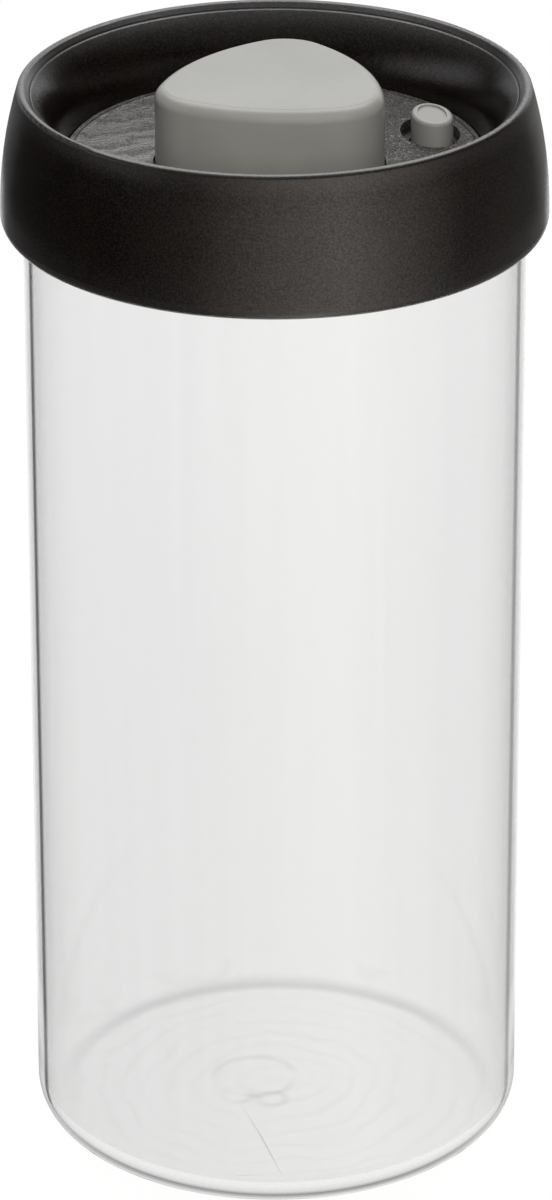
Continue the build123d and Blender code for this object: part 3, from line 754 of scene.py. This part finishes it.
def button_line(growth, steps):
    """Points round the pump button's outline, moved outwards by a growth."""
    half = 180 / lobes
    reach = flank_radius - lobe_radius
    across = lobe_distance * math.sin(math.radians(half))
    along = lobe_distance * math.cos(math.radians(half))
    set_back = math.sqrt(reach**2 - across**2) - along
    swing = math.degrees(math.asin(across / reach))
    points = []
    for index in range(lobes):
        lobe = lobe_angle + 2 * half * index
        corner = polar(lobe_distance, lobe)
        centre = polar(-set_back, lobe + half)
        lobe_swing = half - swing
        for step in range(steps):
            angle = lobe - lobe_swing + 2 * lobe_swing * step / steps
            points.append(corner + polar(lobe_radius + growth, angle))
        for step in range(steps):
            angle = lobe + half - swing + 2 * swing * step / steps
            points.append(centre + polar(flank_radius + growth, angle))
    return points


def well_line(steps):
    """Points round the release button's well."""
    centre = polar(*well_place)
    turn = Matrix.Rotation(math.radians(well_turn), 2)
    points = []
    for step in range(steps):
        angle = 2 * math.pi * step / steps
        out = Vector((well_half[0] * math.cos(angle), well_half[1] * math.sin(angle)))
        points.append(centre + turn @ out)
    return points


def circle_line(radius, steps):
    """Points round a circle on the axis."""
    return [polar(radius, 360 * step / steps) for step in range(steps)]


def inside_line(point, line):
    """True if a point lies inside a closed line."""
    within = False
    last = line[-1]
    for corner in line:
        if (corner.y > point.y) != (last.y > point.y):
            crossing = corner.x + (point.y - corner.y) * (last.x - corner.x) / (last.y - corner.y)
            if point.x < crossing:
                within = not within
        last = corner
    return within


def relief(x, y):
    """The embossed grain's height: rows of small pips in drawn-out, wandering lines."""
    bend = noise.noise(Vector((x / bend_size, y / bend_size, 3.0)))
    across = y - relief_lean * x + bend * bend_reach
    row = math.sin(across / row_spacing * 2 * math.pi)
    pips = math.sin(x / pip_spacing * 2 * math.pi + 4 * bend)
    patch = noise.noise(Vector((x / patch_size[0], y / patch_size[1], 9.0)))
    fibre = noise.noise(Vector((x / fibre_size[0], y / fibre_size[1], 5.0)))
    strong = smooth(0.5 + patch)
    return relief_depth * (0.55 * max(row, 0) * (0.5 + 0.5 * pips) * strong + 0.45 * fibre)


def deck_plate():
    """The plate in the bowl, with its border groove, holes and embossed grain."""
    hole = button_line(hole_gap, lobe_points)
    well = well_line(well_points)
    radii = [
        deck_radius,
        deck_radius - deck_edge,
        groove_outer,
        groove_outer - groove_slope,
        groove_inner + groove_slope,
        groove_inner,
    ]
    lines = [circle_line(radius, rim_points) for radius in radii] + [hole, well]
    points, edges = [], []
    for line in lines:
        first = len(points)
        points += line
        edges += [(first + i, first + (i + 1) % len(line)) for i in range(len(line))]
    row_step = relief_step * math.sqrt(3) / 2
    rows = int(groove_inner / row_step)
    for row in range(-rows, rows + 1):
        for column in range(-rows, rows + 1):
            spot = Vector(((column + 0.5 * (row % 2)) * relief_step, row * row_step))
            if spot.length > groove_inner - relief_step / 2:
                continue
            if inside_line(spot, hole) or inside_line(spot, well):
                continue
            points.append(spot)
    flat, _, faces, *_ = geometry.delaunay_2d_cdt(points, edges, [], 0, 1e-7)
    kept = []
    for face in faces:
        middle = sum((flat[i] for i in face), Vector((0, 0))) / len(face)
        if not inside_line(middle, hole) and not inside_line(middle, well) and middle.length < deck_radius:
            kept.append(tuple(face))
    return plate_from(flat, kept, hole + well)


def plate_from(flat, faces, hole_points):
    """The plate's solid from its top faces: raised by the grain, walled and closed below."""
    near_hole = [(p.x, p.y) for p in hole_points]
    mesh = bmesh.new()
    top = []
    for spot in flat:
        radius = spot.length
        height = deck_high.z
        if radius > deck_radius - deck_edge / 2:
            height -= deck_edge
        elif groove_inner + groove_slope / 2 < radius < groove_outer - groove_slope / 2:
            height -= groove_depth
        elif radius < groove_inner - relief_border:
            margin = min(math.hypot(spot.x - x, spot.y - y) for x, y in near_hole)
            height += (relief(spot.x, spot.y) - relief_depth) * smooth(margin / relief_fade)
        top.append(mesh.verts.new((spot.x, spot.y, height)))
    for face in faces:
        mesh.faces.new([top[i] for i in face])
    mesh.normal_update()
    if sum(face.normal.z for face in mesh.faces) < 0:
        bmesh.ops.reverse_faces(mesh, faces=mesh.faces)
    boundary = [edge for edge in mesh.edges if edge.is_boundary]
    walls = bmesh.ops.extrude_edge_only(mesh, edges=boundary)["geom"]
    low = [v for v in walls if isinstance(v, bmesh.types.BMVert)]
    for vert in low:
        vert.co.z = deck_low.z
    rims = [e for e in walls if isinstance(e, bmesh.types.BMEdge)]
    bmesh.ops.triangle_fill(mesh, edges=rims, use_beauty=True, normal=(0, 0, -1))
    bmesh.ops.delete(mesh, geom=[v for v in mesh.verts if not v.link_faces], context="VERTS")
    bmesh.ops.recalc_face_normals(mesh, faces=mesh.faces)
    # Corners and faces are sorted, because their order here can change from run to run.
    corners = sorted(mesh.verts, key=lambda vert: tuple(vert.co))
    numbers = {vert: index for index, vert in enumerate(corners)}
    sorted_faces = sorted(tuple(numbers[vert] for vert in face.verts) for face in mesh.faces)
    piece = new_piece("deck_plate_grained", [vert.co for vert in corners], sorted_faces, [deck_grain])
    mesh.free()
    piece.data.set_sharp_from_angle(angle=math.radians(sharp_angle))
    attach(piece, "lid")
    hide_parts("deck_plate")
    return piece


def spring(name, node, coil_radius, wire, turns, centre):
    """A wound spring, coiled from end to end of the part it stands in for."""
    low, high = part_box(node)
    start, end = low.z + wire, high.z - wire
    count = int(turns * wire_steps)
    points = []
    for step in range(count + 1):
        share = step / count
        angle = 2 * math.pi * turns * share
        out = Vector((math.cos(angle), math.sin(angle), 0))
        middle = Vector((*centre, start + (end - start) * share)) + out * coil_radius
        for side in range(wire_sides):
            around = 2 * math.pi * side / wire_sides
            points.append(middle + wire * (out * math.cos(around) + Vector((0, 0, math.sin(around)))))
    faces = [tuple(range(wire_sides)), tuple(reversed(range(count * wire_sides, (count + 1) * wire_sides)))]
    for step in range(count):
        for side in range(wire_sides):
            after = (side + 1) % wire_sides
            first, second = step * wire_sides, (step + 1) * wire_sides
            faces.append((first + side, second + side, second + after, first + after))
    piece = new_piece(name, points, faces, [spring_steel])
    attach(piece, "lid")
    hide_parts(node)
    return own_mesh(piece)


glass_jar()
deck_plate()
spring(
    "pump_spring_wound",
    "pump_spring",
    pump_coil_radius,
    pump_wire,
    pump_turns,
    (0, 0),
)
spring(
    "release_spring_wound",
    "release_spring",
    release_coil_radius,
    release_wire,
    release_turns,
    polar(*release_place),
)


# Studio


def seen_directly(tree):
    """1 for rays from the camera, straight or through glass, and 0 for the rest."""
    path = add_node(tree, "ShaderNodeLightPath").outputs
    return maths(tree, "MAXIMUM", path["Is Camera Ray"], path["Is Transmission Ray"])


def front_glow(tree, parts):
    """Soft light round the front, strongest a little to the right."""
    forward = maths(tree, "SUBTRACT", 0.0, parts["Y"])
    angle = maths(tree, "ARCTAN2", parts["X"], forward)
    share = ranged(tree, angle, -math.pi, math.pi, 0.0, 1.0)
    level = ramp(tree, share, front_stops)
    return blended(tree, level, (0.0, 0.0, 0.0), front_light)


def studio_floor():
    """A pale round table that keeps the object's shadow, and that glows with painted front light in
    reflections and white behind the jar.
    """
    points = [(*polar(floor_radius, 360 * i / floor_sides), -floor_gap) for i in range(floor_sides)]
    made = bpy.data.materials.new("pale_floor")
    made.use_nodes = True
    tree = made.node_tree
    tree.nodes.remove(tree.nodes["Principled BSDF"])
    direct = seen_directly(tree)
    shiny = add_node(tree, "ShaderNodeLightPath").outputs["Is Glossy Ray"]
    place = place_in(tree)
    parts = add_node(tree, "ShaderNodeSeparateXYZ", {"Vector": place}).outputs
    beside = maths(tree, "SUBTRACT", maths(tree, "ABSOLUTE", parts["X"], 0.0), jar_radius)
    wedge = maths(tree, "DIVIDE", beside, maths(tree, "MAXIMUM", parts["Y"], jar_radius))
    sheet = ranged(tree, wedge, 0.26, 0.50, 1.0, 0.0)
    behind = maths(tree, "MULTIPLY", ranged(tree, parts["Y"], 0.0, jar_radius, 0.0, 1.0), sheet)
    # Painted light seen only in reflections: the floor glows with the front's soft light, and white in a
    # wedge behind the jar
    mirrored = blended(tree, behind, front_glow(tree, parts), (1.0, 1.0, 1.0))
    shown = maths(tree, "MAXIMUM", direct, shiny)
    colour = blended(tree, shown, floor_bounce, floor_shade)
    diffuse = add_node(tree, "ShaderNodeBsdfDiffuse", {"Color": colour})
    glow = add_node(tree, "ShaderNodeEmission", {"Color": (1, 1, 1, 1)})
    radius = round_axis(tree, place)[0]
    rise = ranged(tree, radius, jar_radius, floor_radius, floor_near, floor_far)
    fall = ranged(tree, radius, 0.8 * floor_radius, floor_radius, 0.0, floor_fade)
    far = maths(tree, "SUBTRACT", rise, fall)
    tree.links.new(blended(tree, direct, mirrored, (1.0, 1.0, 1.0)), glow.inputs["Color"])
    tree.links.new(maths(tree, "MULTIPLY", shown, far), glow.inputs["Strength"])
    both = add_node(tree, "ShaderNodeAddShader", {0: diffuse.outputs[0], 1: glow.outputs[0]})
    tree.links.new(both.outputs[0], tree.nodes["Material Output"].inputs["Surface"])
    floor = new_piece("studio_floor", points, [tuple(range(floor_sides))], [made], is_smooth=False)


def studio_world():
    """White where it is seen directly. Around the object: a bright backdrop behind, dim in front."""
    world = bpy.data.worlds.new("studio")
    bpy.context.scene.world = world
    world.use_nodes = True
    tree = world.node_tree
    background = tree.nodes["Background"]
    way = add_node(tree, "ShaderNodeTexCoord").outputs["Generated"]
    parts = add_node(tree, "ShaderNodeSeparateXYZ", {"Vector": way}).outputs
    behind = ranged(tree, parts["Y"], *backdrop_edge, 0.0, 1.0)
    above = ranged(tree, parts["Z"], -0.25, 0.0, 0.2, 1.0)
    lit = maths(tree, "MULTIPLY", behind, above)
    horizon = ranged(tree, parts["X"], -0.45, 0.45, backdrop_left, backdrop_right)
    peak = hill(tree, parts["Z"], peak_level, peak_half[1])
    middle = hill(tree, parts["X"], 0.0, peak_half[0])
    backdrop = maths(tree, "ADD", horizon, maths(tree, "MULTIPLY", peak, middle))
    low = ranged(tree, parts["Z"], 0.12, 0.40, 1.0, 0.0)
    front = blended(tree, low, (0.0, 0.0, 0.0), front_glow(tree, parts))
    sky = ranged(tree, parts["Z"], 0.45, 1.0, sky_low, sky_high)
    panel_wide = hill(tree, parts["X"], panel_place[0], panel_half[0])
    panel_high = hill(tree, parts["Z"], panel_place[1], panel_half[1])
    panel = maths(tree, "MULTIPLY", panel_wide, panel_high)
    sky = maths(tree, "ADD", sky, maths(tree, "MULTIPLY", panel, left_panel))
    both = add_node(tree, "ShaderNodeVectorMath", {0: front, 1: sky}, operation="ADD").outputs["Vector"]
    around = blended(tree, lit, both, backdrop)
    direct = seen_directly(tree)
    tree.links.new(blended(tree, direct, around, (1.0, 1.0, 1.0)), background.inputs["Color"])


def lamp(name, place, target, wide, high, power, colour=(1, 1, 1), gloss=True):
    """A soft rectangular lamp that faces a target and may show in glossy surfaces."""
    data = bpy.data.lights.new(name, "AREA")
    data.shape = "RECTANGLE"
    data.size = wide
    data.size_y = high
    data.energy = power
    data.color = colour
    made = bpy.data.objects.new(name, data)
    bpy.context.scene.collection.objects.link(made)
    made.location = place
    made.rotation_euler = (Vector(target) - Vector(place)).to_track_quat("-Z", "Y").to_euler()
    made.visible_camera = False
    made.visible_transmission = False
    made.visible_glossy = gloss


def studio_camera():
    """The camera, at the photograph's place and lens."""
    data = bpy.data.cameras.new("camera")
    data.lens = camera_lens
    data.sensor_width = camera_sensor
    made = bpy.data.objects.new("camera", data)
    bpy.context.scene.collection.objects.link(made)
    made.location = camera_place
    made.rotation_euler = [math.radians(angle) for angle in camera_turn]
    bpy.context.scene.camera = made


studio_camera()
studio_floor()
studio_world()
lamp("overhead", **overhead)
lamp("front_fill", **front_fill)
bpy.context.scene.view_settings.view_transform = "Standard"
